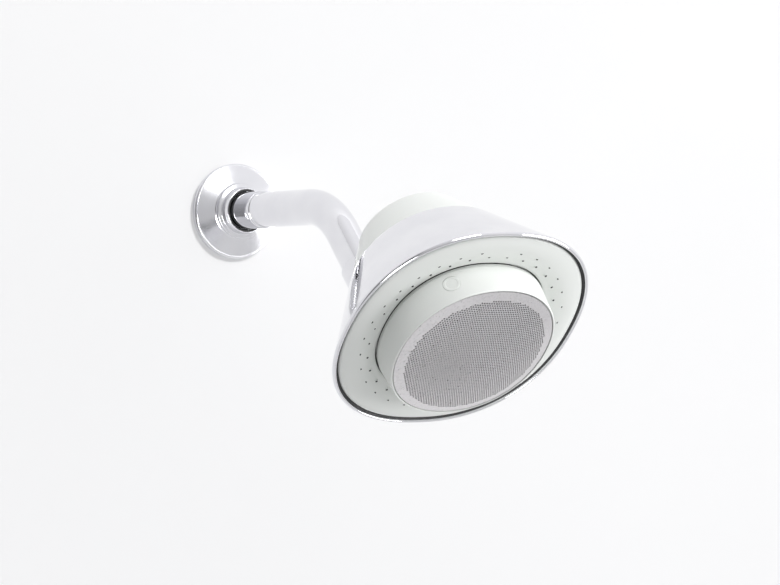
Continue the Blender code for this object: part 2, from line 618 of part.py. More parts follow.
def build_electronics(head):
    add_object("main_board", disc(34.0, -16.4, -15.0), "board", head)
    cell = turned([(0, -24), (8.6, -24), (8.6, 22.6), (3.0, 22.6), (3.0, 24), (0, 24)], 16)
    add_object("battery", cell, "battery_wrap", head, at=(0, 8, -27.2), turn=(0, math.radians(90), 0))
    cradle = add_object("battery_cradle", block((40, 21, 5.6), (0, 8, -36.2)), "black_plastic", head)
    trough = disc(8.6 + GAP, -30, 30, 16)
    bmesh.ops.rotate(trough, matrix=Matrix.Rotation(math.radians(90), 3, "Y"), verts=trough.verts)
    cut(cradle, moved(trough, y=8, z=-27.2), parent=head)


def button_place():
    """Middle of the power button on the pod's sloping side, and the way it is pressed."""
    taper = (POD_BASE_HALF - POD_FRONT_HALF) / POD_SIDE_HEIGHT
    half = POD_BASE_HALF - (BUTTON_HEIGHT + 1.2) * taper
    reach = half * squareness_factor(BUTTON_ANGLE, 2.18)
    side = Vector((math.cos(BUTTON_ANGLE), math.sin(BUTTON_ANGLE), 0))
    lean = math.atan(taper)
    inward = -(side * math.cos(lean) + Vector((0, 0, 1)) * math.sin(lean))
    return side * reach + Vector((0, 0, BUTTON_HEIGHT)), inward


def aimed(shape, place, direction):
    """Turn a shape's z axis to a direction and put its origin at a place."""
    turn = direction.to_track_quat("Z", "Y").to_matrix()
    bmesh.ops.rotate(shape, matrix=turn, verts=shape.verts)
    return moved(shape, *place)


def build_button(head):
    place, inward = button_place()
    turn = (-inward).to_track_quat("Z", "Y").to_euler()
    cap = [(0, -1.9), (BUTTON_RADIUS, -1.9), (BUTTON_RADIUS, -0.2), (BUTTON_RADIUS - 0.5, 0.1),
           (0, 0.1)]
    add_object("power_button", turned(cap, 16), "white_plastic", head, at=place, turn=turn)
    add_object("button_switch", block((6, 3, 1.6), (0, 0, -3.9)), "black_plastic", head,
               at=place, turn=turn)


clear_scene()
MATERIALS = make_materials()
build_arm()
build_flange()
build_swivel(frame_empty("ball_frame", BALL_CENTRE, HEAD_AXES))
HEAD = frame_empty("head_frame", HEAD_CENTRE, HEAD_AXES)
build_neck(HEAD)
build_shell(HEAD)
build_face(HEAD)
build_dock(HEAD)
build_pod_shells(HEAD)
build_grille(HEAD)
build_driver(HEAD)
build_electronics(HEAD)
build_button(HEAD)
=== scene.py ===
"""Looks of the shower speaker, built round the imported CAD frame.

Sizes are in millimetres in the same frames as the CAD: the row frame, and the head's own frame with
x to the right, y towards the top of the face and z out of the face. MM turns them into metres.
"""

import json
import math

import bmesh
import bpy
import numpy as np
from mathutils import Matrix, Vector
from mathutils.geometry import delaunay_2d_cdt

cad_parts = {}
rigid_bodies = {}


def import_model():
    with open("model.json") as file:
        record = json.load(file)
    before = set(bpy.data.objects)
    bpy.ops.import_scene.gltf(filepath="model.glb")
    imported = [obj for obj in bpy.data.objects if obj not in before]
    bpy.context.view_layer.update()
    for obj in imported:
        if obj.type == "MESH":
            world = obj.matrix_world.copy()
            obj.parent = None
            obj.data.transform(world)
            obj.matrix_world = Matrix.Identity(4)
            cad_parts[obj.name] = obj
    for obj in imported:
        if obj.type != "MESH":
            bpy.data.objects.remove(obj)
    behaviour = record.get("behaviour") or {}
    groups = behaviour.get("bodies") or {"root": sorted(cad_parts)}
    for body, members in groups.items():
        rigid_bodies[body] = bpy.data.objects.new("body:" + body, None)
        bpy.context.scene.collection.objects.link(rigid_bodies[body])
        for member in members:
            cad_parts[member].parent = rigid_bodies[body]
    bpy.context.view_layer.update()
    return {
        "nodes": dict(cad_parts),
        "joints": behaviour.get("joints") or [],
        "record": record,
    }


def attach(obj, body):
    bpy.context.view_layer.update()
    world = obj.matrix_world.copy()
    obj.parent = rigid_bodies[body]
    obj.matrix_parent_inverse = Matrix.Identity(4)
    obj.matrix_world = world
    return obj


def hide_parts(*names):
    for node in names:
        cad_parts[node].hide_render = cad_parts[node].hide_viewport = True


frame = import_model()


MM = 0.001
STEPS = 192                    # sides of the head's outlines
ROUND_STEPS = 96
FACET = 1.6                    # longest step along an outline
ARC_STEPS = 5                  # steps of a rounded corner

SPIN = next(joint for joint in frame["joints"] if joint["name"] == "head_spin")
BALL = Vector(SPIN["pos_m"])
OUT = Vector(SPIN["axis"]).normalized()
RIGHT = Vector((1, 0, 0))
UP = OUT.cross(RIGHT)
HEAD_OFFSET = 52.5
HEAD_DROP = 70.0
HEAD_AXES = Matrix((RIGHT, UP, OUT)).transposed().to_4x4()
BALL_FRAME = Matrix.Translation(BALL) @ HEAD_AXES @ Matrix.Scale(MM, 4)
HEAD_CENTRE = BALL + OUT * HEAD_DROP * MM + UP * HEAD_OFFSET * MM
HEAD = Matrix.Translation(HEAD_CENTRE) @ HEAD_AXES @ Matrix.Scale(MM, 4)
WALL = Matrix.Rotation(math.radians(90), 4, "X") @ Matrix.Scale(MM, 4)


# Camera

LOOK = Vector((0.50721, 0.86177, 0.0093))
camera = bpy.data.objects.new("photo_camera", bpy.data.cameras.new("photo_camera"))
bpy.context.scene.collection.objects.link(camera)
camera.location = (-1.1386, -2.1187, -0.0712)
camera.rotation_euler = LOOK.to_track_quat("-Z", "Y").to_euler()
camera.data.lens = 184.615
camera.data.sensor_width = 36
camera.data.clip_end = 50
bpy.context.scene.camera = camera


# Mesh helpers

def squareness_factor(angle, power):
    """Radius of a rounded square whose flat sides are at 1, in the direction of angle."""
    return (abs(math.cos(angle)) ** power + abs(math.sin(angle)) ** power) ** (-1 / power)


def half_width(x, y, power=2.1):
    """The half width of the rounded square that passes through a point."""
    return (abs(x) ** power + abs(y) ** power) ** (1 / power)


def corner(radius, z, power=2.0, fillet=0.0):
    """An outline point; fillet rounds the outline there."""
    return (radius, z, power, fillet)


def filleted(points, closed=True):
    """Outline with its corners rounded by their fillets."""
    result = []
    count = len(points)
    for index, point in enumerate(points):
        radius, z, power, fillet = (tuple(point) + (2.0, 0.0))[:4] if len(point) < 4 else point
        end = not closed and index in (0, count - 1)
        if fillet <= 0 or end:
            result.append((radius, z, power))
            continue
        here = Vector((radius, z))
        back = Vector(points[index - 1][:2]) - here
        ahead = Vector(points[(index + 1) % count][:2]) - here
        opening = back.angle(ahead)
        if opening > math.radians(176):
            result.append((radius, z, power))
            continue
        run = min(fillet / math.tan(opening / 2), 0.45 * back.length, 0.45 * ahead.length)
        size = run * math.tan(opening / 2)
        centre = here + (back.normalized() + ahead.normalized()).normalized() * size / math.sin(opening / 2)
        first = here + back.normalized() * run - centre
        last = here + ahead.normalized() * run - centre
        sweep = first.angle(last)
        for step in range(ARC_STEPS + 1):
            share = step / ARC_STEPS
            blend = first * math.sin((1 - share) * sweep) + last * math.sin(share * sweep)
            spot = centre + blend / math.sin(sweep)
            result.append((spot.x, spot.y, power))
    return result


def denser(points, closed=True, facet=FACET):
    """Extra points along long stretches, so that shading stays even."""
    result = []
    pairs = list(zip(points, points[1:] + points[:1])) if closed else list(zip(points, points[1:]))
    for start, end in pairs:
        length = math.hypot(end[0] - start[0], end[1] - start[1])
        count = max(1, math.ceil(length / facet))
        for step in range(count):
            share = step / count
            result.append(tuple(a + (b - a) * share for a, b in zip(start, end)))
    if not closed:
        result.append(points[-1])
    return result


def curve(points, per=6):
    """Catmull-Rom points through the given (radius, z, squareness) points."""
    full = [tuple(p) + (2.0,) * (3 - len(p)) for p in points]
    padded = [full[0]] + full + [full[-1]]
    result = []
    for index in range(1, len(padded) - 2):
        a, b, c, d = (np.array(padded[index + k]) for k in (-1, 0, 1, 2))
        for step in range(per):
            t = step / per
            value = 0.5 * (2 * b + (c - a) * t + (2 * a - 5 * b + 4 * c - d) * t * t
                           + (3 * b - a - 3 * c + d) * t ** 3)
            result.append(tuple(value))
    result.append(full[-1])
    return result


def turned(outline, steps=ROUND_STEPS, ripple=None):
    """Sweep (radius, z, squareness) points round the z axis; a point with radius 0 is a pole."""
    shape = bmesh.new()
    rings = []
    for radius, z, power in outline:
        if radius <= 1e-6:
            rings.append([shape.verts.new((0, 0, z))])
            continue
        ring = []
        for step in range(steps):
            angle = 2 * math.pi * step / steps
            reach = radius * squareness_factor(angle, power)
            if ripple:
                reach += ripple(angle, radius, z)
            ring.append(shape.verts.new((reach * math.cos(angle), reach * math.sin(angle), z)))
        rings.append(ring)
    pairs = list(zip(rings, rings[1:]))
    if outline[0][0] > 1e-6:
        pairs.append((rings[-1], rings[0]))
    for low, high in pairs:
        for step in range(steps):
            after = (step + 1) % steps
            corners = [low[step % len(low)], low[after % len(low)],
                       high[after % len(high)], high[step % len(high)]]
            shape.faces.new(dict.fromkeys(corners))
    return shape


def lathe(points, steps=ROUND_STEPS, facet=FACET, ripple=None):
    """A turned solid from an outline with fillets."""
    full = [tuple(p) + ((2.0, 0.0)[len(p) - 2:] if len(p) < 4 else ()) for p in points]
    closed = full[0][0] > 0
    return turned(denser(filleted(full, closed), closed, facet), steps, ripple)


def rod(radius, low, high, sides=16):
    return turned([(0, low, 2), (radius, low, 2), (radius, high, 2), (0, high, 2)], sides)


def rounded_block(size, centre, bevel=0.4, segments=3):
    shape = bmesh.new()
    bmesh.ops.create_cube(shape, size=1)
    bmesh.ops.scale(shape, vec=size, verts=shape.verts)
    bmesh.ops.bevel(shape, geom=list(shape.edges), offset=bevel, segments=segments, affect="EDGES",
                    profile=0.5)
    bmesh.ops.translate(shape, vec=centre, verts=shape.verts)
    return shape


def shifted(shape, x=0.0, y=0.0, z=0.0):
    bmesh.ops.translate(shape, vec=(x, y, z), verts=shape.verts)
    return shape


def rotated(shape, degrees, axis):
    bmesh.ops.rotate(shape, matrix=Matrix.Rotation(math.radians(degrees), 3, axis), verts=shape.verts)
    return shape


def merged(shapes):
    whole = bmesh.new()
    for shape in shapes:
        spare = bpy.data.meshes.new("spare")
        bmesh.ops.recalc_face_normals(shape, faces=shape.faces)
        shape.to_mesh(spare)
        shape.free()
        whole.from_mesh(spare)
        bpy.data.meshes.remove(spare)
    return whole


def around(radius, count, first_angle=0.0):
    for index in range(count):
        angle = first_angle + 2 * math.pi * index / count
        yield radius * math.cos(angle), radius * math.sin(angle)


def make_object(name, shape, matrix):
    shape.transform(matrix)
    bmesh.ops.recalc_face_normals(shape, faces=shape.faces)
    mesh = bpy.data.meshes.new(name)
    shape.to_mesh(mesh)
    shape.free()
    made = bpy.data.objects.new(name, mesh)
    bpy.context.scene.collection.objects.link(made)
    return made


def cut(made, shape, matrix, operation="DIFFERENCE"):
    """Boolean a shape into a piece and apply it."""
    tool = make_object("tool", shape, matrix)
    step = made.modifiers.new("cut", "BOOLEAN")
    step.operation = operation
    step.solver = "EXACT"
    step.object = tool
    bpy.context.view_layer.update()
    result = bpy.data.meshes.new_from_object(made.evaluated_get(bpy.context.evaluated_depsgraph_get()))
    made.modifiers.clear()
    old = made.data
    made.data = result
    result.name = made.name
    bpy.data.meshes.remove(old)
    spare = tool.data
    bpy.data.objects.remove(tool)
    bpy.data.meshes.remove(spare)


def piece(made, body, slot, *nodes, sharp=40):
    """Finish a piece: smooth shading, material, and its place in the frame."""
    made.data.shade_smooth()
    made.data.set_sharp_from_angle(angle=math.radians(sharp))
    made.data.materials.clear()
    made.data.materials.append(LOOKS[slot])
    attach(made, body)
    if nodes:
        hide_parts(*nodes)
    return made


# Materials

class Look:
    """A material with its Principled shader and short ways to add nodes."""

    def __init__(self, name, colour, roughness, metallic=0.0, **fixed):
        self.material = bpy.data.materials.new(name)
        self.material.use_nodes = True
        self.tree = self.material.node_tree
        self.shader = self.tree.nodes["Principled BSDF"]
        self.shader.inputs["Base Color"].default_value = (*colour, 1)
        self.shader.inputs["Roughness"].default_value = roughness
        self.shader.inputs["Metallic"].default_value = metallic
        for key, value in fixed.items():
            self.shader.inputs[key.replace("_", " ")].default_value = value
        self.place = self.tree.nodes.new("ShaderNodeTexCoord").outputs["Object"]

    def node(self, kind, **sockets):
        made = self.tree.nodes.new(kind)
        for key, value in sockets.items():
            socket = made.inputs[key.replace("_", " ")]
            if hasattr(value, "is_linked"):
                self.tree.links.new(value, socket)
            else:
                socket.default_value = value
        return made

    def noise(self, scale, detail=4.0, rough=0.55, stretch=None):
        place = self.place
        if stretch:
            mapping = self.node("ShaderNodeMapping", Vector=place)
            mapping.inputs["Scale"].default_value = stretch
            place = mapping.outputs["Vector"]
        made = self.node("ShaderNodeTexNoise", Vector=place, Scale=scale, Detail=detail, Roughness=rough)
        return made.outputs["Fac"]

    def ramp(self, value, low, high, start=0.35, end=0.65):
        made = self.node("ShaderNodeMapRange", Value=value)
        made.inputs["From Min"].default_value = start
        made.inputs["From Max"].default_value = end
        made.inputs["To Min"].default_value = low
        made.inputs["To Max"].default_value = high
        return made.outputs["Result"]

    def tint(self, value, first, second, start=0.35, end=0.65):
        made = self.tree.nodes.new("ShaderNodeValToRGB")
        made.color_ramp.elements[0].position = start
        made.color_ramp.elements[0].color = (*first, 1)
        made.color_ramp.elements[1].position = end
        made.color_ramp.elements[1].color = (*second, 1)
        self.tree.links.new(value, made.inputs["Fac"])
        return made.outputs["Color"]

    def set(self, socket, value):
        self.tree.links.new(value, self.shader.inputs[socket])

    def bump(self, value, distance, strength=0.5):
        made = self.node("ShaderNodeBump", Height=value, Distance=distance, Strength=strength)
        previous = self.shader.inputs["Normal"].links
        if previous:
            self.tree.links.new(previous[0].from_socket, made.inputs["Normal"])
        self.tree.links.new(made.outputs["Normal"], self.shader.inputs["Normal"])


def chrome_look(name, smoothest, roughest):
    look = Look(name, (0.79, 0.79, 0.82), smoothest, 1.0)
    film = look.noise(38, 3)
    look.set("Base Color", look.tint(film, (0.76, 0.76, 0.79), (0.81, 0.81, 0.835)))
    look.set("Roughness", look.ramp(look.noise(160, 6, 0.65), smoothest, roughest))
    look.bump(look.noise(240, 2), 0.00001, 0.25)
    return look.material


def plastic_look(name, light, dark, roughness, grain=0.000012):
    look = Look(name, light, roughness, 0.0)
    look.set("Base Color", look.tint(look.noise(24, 3), dark, light, 0.2, 0.8))
    look.set("Roughness", look.ramp(look.noise(420, 5, 0.6), roughness - 0.02, roughness + 0.03, 0.2, 0.8))
    look.bump(look.noise(2600, 3), grain, 0.12)
    return look.material


def rubber_look(name, colour, roughness):
    look = Look(name, colour, roughness, 0.0)
    lighter = tuple(c * 1.25 + 0.004 for c in colour)
    look.set("Base Color", look.tint(look.noise(90, 4), colour, lighter))
    look.set("Roughness", look.ramp(look.noise(700, 4), roughness - 0.1, min(1.0, roughness + 0.1)))
    look.bump(look.noise(3800, 4), 0.00002, 0.5)
    return look.material


def metal_look(name, colour, roughness, stretch=(1, 1, 1), scale=900):
    look = Look(name, colour, roughness, 1.0)
    streaks = look.noise(scale, 5, 0.6, stretch)
    darker = tuple(c * 0.88 for c in colour)
    look.set("Base Color", look.tint(streaks, darker, colour, 0.3, 0.6))
    look.set("Roughness", look.ramp(streaks, roughness - 0.07, roughness + 0.1))
    look.bump(streaks, 0.000003, 0.15)
    return look.material


def cloth_look():
    look = Look("acoustic_cloth", (0.03, 0.03, 0.032), 0.9, 0.0)
    threads = look.node("ShaderNodeTexWave", Vector=look.place, Scale=900.0, Distortion=0.6)
    across = look.node("ShaderNodeTexWave", Vector=look.place, Scale=900.0, Distortion=0.6)
    across.bands_direction = "Z"
    weave = look.node("ShaderNodeMath")
    weave.operation = "MAXIMUM"
    look.tree.links.new(threads.outputs["Fac"], weave.inputs[0])
    look.tree.links.new(across.outputs["Fac"], weave.inputs[1])
    woven = look.tint(weave.outputs["Value"], (0.012, 0.012, 0.013), (0.05, 0.05, 0.052), 0.2, 0.9)
    look.set("Base Color", woven)
    look.bump(weave.outputs["Value"], 0.0001, 0.6)
    return look.material


def wound_look():
    look = Look("voice_coil_wire", (0.75, 0.38, 0.20), 0.35, 1.0)
    turns = look.node("ShaderNodeTexWave", Vector=look.place, Scale=1400.0)
    turns.bands_direction = "Z"
    look.set("Base Color", look.tint(turns.outputs["Fac"], (0.4, 0.17, 0.08), (0.8, 0.42, 0.22), 0.1, 0.7))
    look.bump(turns.outputs["Fac"], 0.00008, 0.6)
    return look.material


LOOKS = {
    "chrome": chrome_look("polished_chrome", 0.02, 0.06),
    "white_plastic": plastic_look("white_plastic_skin", (0.765, 0.785, 0.760), (0.75, 0.77, 0.746), 0.34),
    "inner_plastic": plastic_look("inner_plastic_skin", (0.25, 0.26, 0.255), (0.22, 0.23, 0.225), 0.48,
                                  0.00003),
    "black_plastic": plastic_look("black_plastic_skin", (0.035, 0.035, 0.036), (0.022, 0.022, 0.023), 0.42,
                                  0.00003),
    "bearing_plastic": plastic_look("acetal", (0.86, 0.84, 0.76), (0.82, 0.79, 0.70), 0.38),
    "white_silicone": rubber_look("white_silicone_skin", (0.715, 0.735, 0.712), 0.45),
    "rubber": rubber_look("black_rubber", (0.018, 0.018, 0.019), 0.6),
    "grille_metal": metal_look("grille_sheet", (0.75, 0.735, 0.745), 0.34, (1, 0.12, 1)),
    "steel": metal_look("bright_steel", (0.58, 0.59, 0.61), 0.28, (1, 1, 0.1)),
    "ferrite": rubber_look("ferrite_grey", (0.08, 0.08, 0.085), 0.6),
    "cloth": cloth_look(),
    "paper": rubber_look("pressed_paper", (0.05, 0.05, 0.05), 0.8),
    "copper": wound_look(),
    "board": plastic_look("solder_mask", (0.02, 0.17, 0.075), (0.012, 0.10, 0.045), 0.4, 0.00006),
    "battery_wrap": plastic_look("shrink_wrap", (0.05, 0.13, 0.37), (0.04, 0.10, 0.30), 0.3),
}
SATIN_CHROME = chrome_look("satin_chrome", 0.15, 0.21)
for part in frame["record"]["subparts"]:
    for holder in frame["nodes"][part["node"]].material_slots:
        holder.material = LOOKS[part["material_slot"]]


# Wall arm: half-inch pipe with a thicker collar under the flange

PIPE_RADIUS = 10.6
PIPE_END_RADIUS = 9.95
PIPE_BORE = 8.2
COLLAR_RADIUS = 11.1
COLLAR_END = 38.0
WALL_DEPTH = 20.0
THREAD_ROOT = 9.6
THREAD_CREST = 10.3
THREAD_PITCH = 1.814
LEVEL_RUN = 93.0
BEND_RADIUS = 54.0
BEND = math.radians(45)
LOWER_RUN = 35.2
BEND_LENGTH = BEND_RADIUS * BEND
ARM_LENGTH = LEVEL_RUN + BEND_LENGTH + LOWER_RUN


def arm_point(distance):
    """Centre of the arm at a distance from the wall, and its slope below level."""
    if distance <= LEVEL_RUN:
        return Vector((0, -distance, 0)), 0.0
    turn = min((distance - LEVEL_RUN) / BEND_RADIUS, BEND)
    beyond = max(0.0, distance - LEVEL_RUN - BEND_LENGTH)
    y = -(LEVEL_RUN + BEND_RADIUS * math.sin(turn)) - beyond * math.cos(turn)
    z = -BEND_RADIUS * (1 - math.cos(turn)) - beyond * math.sin(turn)
    return Vector((0, y, z)), turn


def arm_radius(distance, angle):
    if distance < -4.5:
        phase = (distance / THREAD_PITCH - angle / (2 * math.pi)) % 1.0
        tooth = 1 - abs(2 * phase - 1)
        lead = min(1.0, max(0.0, (distance + WALL_DEPTH - 0.4) / 1.6))
        runout = min(1.0, max(0.0, (-5.4 - distance) / 1.2))
        return THREAD_ROOT + (THREAD_CREST - THREAD_ROOT) * tooth * lead * runout
    if distance < COLLAR_END:
        edge = min(distance + 4.5, COLLAR_END - distance)
        if edge < 0.5:
            drop = 0.5 * (1 - math.sqrt(max(0.0, 1 - (1 - edge / 0.5) ** 2)))
            return COLLAR_RADIUS - drop
        return COLLAR_RADIUS
    share = min(1.0, max(0.0, (distance - LEVEL_RUN) / BEND_LENGTH))
    share = share * share * (3 - 2 * share)
    return PIPE_RADIUS + (PIPE_END_RADIUS - PIPE_RADIUS) * share


def build_arm():
    stations = list(np.arange(-WALL_DEPTH, -4.5, THREAD_PITCH / 8))
    stations += list(np.linspace(-4.5, -4.0, 5)) + list(np.arange(-2, COLLAR_END - 1, 2.0))
    stations += list(np.linspace(COLLAR_END - 0.5, COLLAR_END - 0.001, 5)) + [COLLAR_END + 0.05]
    stations += list(np.arange(COLLAR_END + 1.5, LEVEL_RUN, 2.0))
    stations += list(np.linspace(LEVEL_RUN, LEVEL_RUN + BEND_LENGTH, 40))
    stations += list(np.linspace(LEVEL_RUN + BEND_LENGTH + 1, ARM_LENGTH, 16))
    shape = bmesh.new()
    rings = []
    inner = [place for place in stations if place > 0][::-2] + [0.0, -WALL_DEPTH]
    inner = [ARM_LENGTH] + [place for place in inner if place < ARM_LENGTH - 0.5]
    for inside, places in ((False, stations), (True, inner)):
        for distance in places:
            centre, slope = arm_point(distance)
            across = Vector((0, -math.sin(slope), math.cos(slope)))
            ring = []
            for step in range(ROUND_STEPS):
                angle = 2 * math.pi * step / ROUND_STEPS
                radius = PIPE_BORE if inside else arm_radius(distance, angle)
                ring.append(shape.verts.new(centre + RIGHT * radius * math.cos(angle)
                                            + across * radius * math.sin(angle)))
            rings.append(ring)
    for ring, following in zip(rings, rings[1:] + rings[:1]):
        for step in range(ROUND_STEPS):
            after = (step + 1) % ROUND_STEPS
            shape.faces.new((ring[step], ring[after], following[after], following[step]))
    piece(make_object("arm_tube", shape, Matrix.Scale(MM, 4)), "wall_arm", "chrome", "shower_arm")


def build_flange():
    outline = [corner(28.4, 0.0), corner(28.5, 2.6, 2, 0.5), corner(27.7, 3.6, 2, 0.5),
               corner(26.9, 3.55, 2, 0.4),
               corner(17.2, 7.05, 2, 0.8), corner(16.5, 7.5, 2, 0.3), corner(16.4, 9.6, 2, 0.6),
               corner(14.2, 10.3, 2, 0.5), corner(13.9, 13.6, 2, 0.5), corner(13.3, 16.0, 2, 0.6),
               corner(12.8, 16.0, 2, 0.15), corner(12.8, 14.2), corner(11.5, 14.0), corner(11.5, 8.0),
               corner(15.0, 5.0), corner(26.6, 2.2), corner(26.6, 0.0)]
    disc = make_object("flange_disc", lathe(outline, 160, 1.0), WALL)
    piece(disc, "flange", "chrome", "wall_flange")
    disc.data.materials[0] = SATIN_CHROME
    ring = [(12.2 + 0.72 * math.cos(a), 15.35 + 0.82 * math.sin(a), 2.0)
            for a in np.linspace(0, 2 * math.pi, 20, endpoint=False)]
    piece(make_object("flange_ring", turned(ring), WALL), "flange", "rubber", "flange_oring")


# Swivel ball and its nuts, from the ball's centre along the head's axis

BALL_RADIUS = 9.5
BALL_FLAT = 8.0
STEM_RADIUS = 5.0
STEM_LENGTH = 16.0
SWIVEL_NUT = 11.6
NUT_APOTHEM = 11.05
NUT_END = 33.8
NUT_FLOOR = 24.6
SOCKET_RADIUS = 11.8


def sphere_arc(radius, first, last, count):
    points = []
    for step in range(count + 1):
        angle = math.radians(first + (last - first) * step / count)
        points.append((radius * math.sin(angle), -radius * math.cos(angle)))
    return points


def build_swivel():
    start = math.degrees(math.asin(STEM_RADIUS / BALL_RADIUS))
    end = 180 - math.degrees(math.acos(BALL_FLAT / BALL_RADIUS))
    outline = [corner(SWIVEL_NUT - 0.6, -NUT_END, 2, 0.2), corner(SWIVEL_NUT, -NUT_END + 0.6, 2, 0.3),
               corner(SWIVEL_NUT, -STEM_LENGTH - 2.0, 2, 0.4), corner(STEM_RADIUS + 5, -STEM_LENGTH, 2, 0.6),
               corner(STEM_RADIUS, -STEM_LENGTH, 2, 0.7)]
    outline += sphere_arc(BALL_RADIUS, start, end, 24)
    outline += [(3.2, BALL_FLAT), (3.2, -20.5), (5.4, -20.5), (5.4, -NUT_FLOOR),
                (PIPE_END_RADIUS + 0.2, -NUT_FLOOR), (PIPE_END_RADIUS + 0.2, -NUT_END)]
    ball = make_object("swivel_fitting", lathe(outline, ROUND_STEPS, 1.2), BALL_FRAME)
    flat = (20, 14, 10.4), (NUT_APOTHEM + 10, 0, -NUT_END + 7.0)
    flats = [rotated(rounded_block(*flat, 0.6), 60 * side, "Z")
             for side in range(6)]
    cut(ball, merged(flats), BALL_FRAME)
    piece(ball, "wall_arm", "chrome", "swivel_ball")

    def flutes(angle, radius, z):
        return -0.45 * max(0.0, math.cos(24 * angle)) ** 3 if radius > 14.7 and -6.4 < z < 1.0 else 0.0

    nut = [corner(13.0, -8.2, 2, 0.5), corner(14.6, -7.6, 2, 0.5), corner(15.2, -6.6, 2, 0.4),
           corner(15.2, 1.7, 2, 0.4), corner(13.3, 1.7), corner(13.3, -0.4)]
    nut += sphere_arc(SOCKET_RADIUS, 51.6, 86, 10)[::-1]
    nut += [corner(8.1, -8.2)]
    piece(make_object("retaining_collar", lathe(nut, 192, 1.0, flutes), BALL_FRAME),
          "head", "chrome", "retaining_nut")


# Head

SHELL_BACK = -50.0
COVER_BACK = -78.0
COVER_BACK_RADIUS = 30.6
NECK_RADIUS = 13.2
OUTER_RING = 59.6
INNER_RING = 54.55
NOZZLES_PER_RING = 30
NOZZLE_RADIUS = 1.05
DOCK_LEDGE = -44.5
WELL_FLOOR = -61.0
WELL_RADIUS = 27.0


def shell_radius(z):
    return 46.3 + (z - SHELL_BACK) * (70.2 - 46.3) / (-7.0 - SHELL_BACK)


def cover_radius(z):
    return COVER_BACK_RADIUS + (z - COVER_BACK) * 0.55


def dock_radius(z):
    return 43.9 + (z + 16) * (0.36 if z > -16 else 0.25)


def build_neck():
    y_ball = -HEAD_OFFSET
    outline = [corner(0, -16), corner(NECK_RADIUS, -16), corner(NECK_RADIUS, -HEAD_DROP, 2, 0.35),
               corner(SOCKET_RADIUS, -HEAD_DROP, 2, 0.15)]
    outline += [(r, z - HEAD_DROP) for r, z in sphere_arc(SOCKET_RADIUS, 98, 148, 10)]
    outline += [(5.8, -57.5), (5.8, -52.2), (0, -52.2)]
    neck = make_object("neck_casting", shifted(lathe(outline, ROUND_STEPS), y=y_ball), HEAD)
    envelope = [(0, COVER_BACK - 0.1), (COVER_BACK_RADIUS + 0.1, COVER_BACK - 0.1),
                (cover_radius(SHELL_BACK) + 0.1, SHELL_BACK - 0.1),
                (shell_radius(SHELL_BACK) + 0.1, SHELL_BACK - 0.1, 2.13),
                (shell_radius(-7.0) + 0.1, -7.0, 2.24), (0, -7.0)]
    cut(neck, lathe(envelope, STEPS, 4.0), HEAD)
    piece(neck, "head", "chrome", "inlet_neck")


LIP_CURVE = curve([(shell_radius(-3.2), -3.2, 2.26), (shell_radius(-2.4), -2.4, 2.26), (72.98, -1.75, 2.26),
                   (72.95, -1.1, 2.26), (72.55, -0.4, 2.26), (71.9, 0.0, 2.26), (71.3, -0.15, 2.26),
                   (71.0, -0.7, 2.26)], 6)


def build_shell():
    outline = [corner(shell_radius(SHELL_BACK), SHELL_BACK, 2.13, 0.5)]
    outline += [corner(*p, 0.0) for p in LIP_CURVE]
    outline += [corner(70.7, -4.2, 2.26), corner(68.2, -7.4, 2.24), corner(44.4, SHELL_BACK, 2.13)]
    piece(make_object("shell_cone", lathe(outline, 240, 1.5), HEAD), "head", "chrome", "chrome_shell")


def nozzle_places():
    """Places of the nozzles and the face's height there; the outer one at the very top is left out."""
    places = []
    for index, (x, y) in enumerate(around(OUTER_RING, NOZZLES_PER_RING, math.pi / 2)):
        if index > 0:
            places.append((x, y, face_height(OUTER_RING), 0.84))
    half_pitch = math.pi / NOZZLES_PER_RING
    for x, y in around(INNER_RING, NOZZLES_PER_RING, math.pi / 2 + half_pitch):
        places.append((x, y, face_height(INNER_RING), 0.74))
    return places


FACE_CURVE = curve([(69.6, -2.4, 2.26), (69.0, -1.25, 2.26), (67.4, -0.55, 2.24), (64.8, 0.0, 2.12),
                    (61.8, 0.1, 2.03), (58.8, -0.3, 2.0), (56.0, -1.0, 2.04), (53.4, -1.85, 2.12),
                    (51.4, -2.5, 2.2), (49.4, -3.0, 2.22)], 6)


def face_height(radius):
    for (r0, z0, _), (r1, z1, _) in zip(FACE_CURVE, FACE_CURVE[1:]):
        if r1 <= radius <= r0:
            return z0 + (z1 - z0) * (radius - r0) / (r1 - r0)
    return 0.0


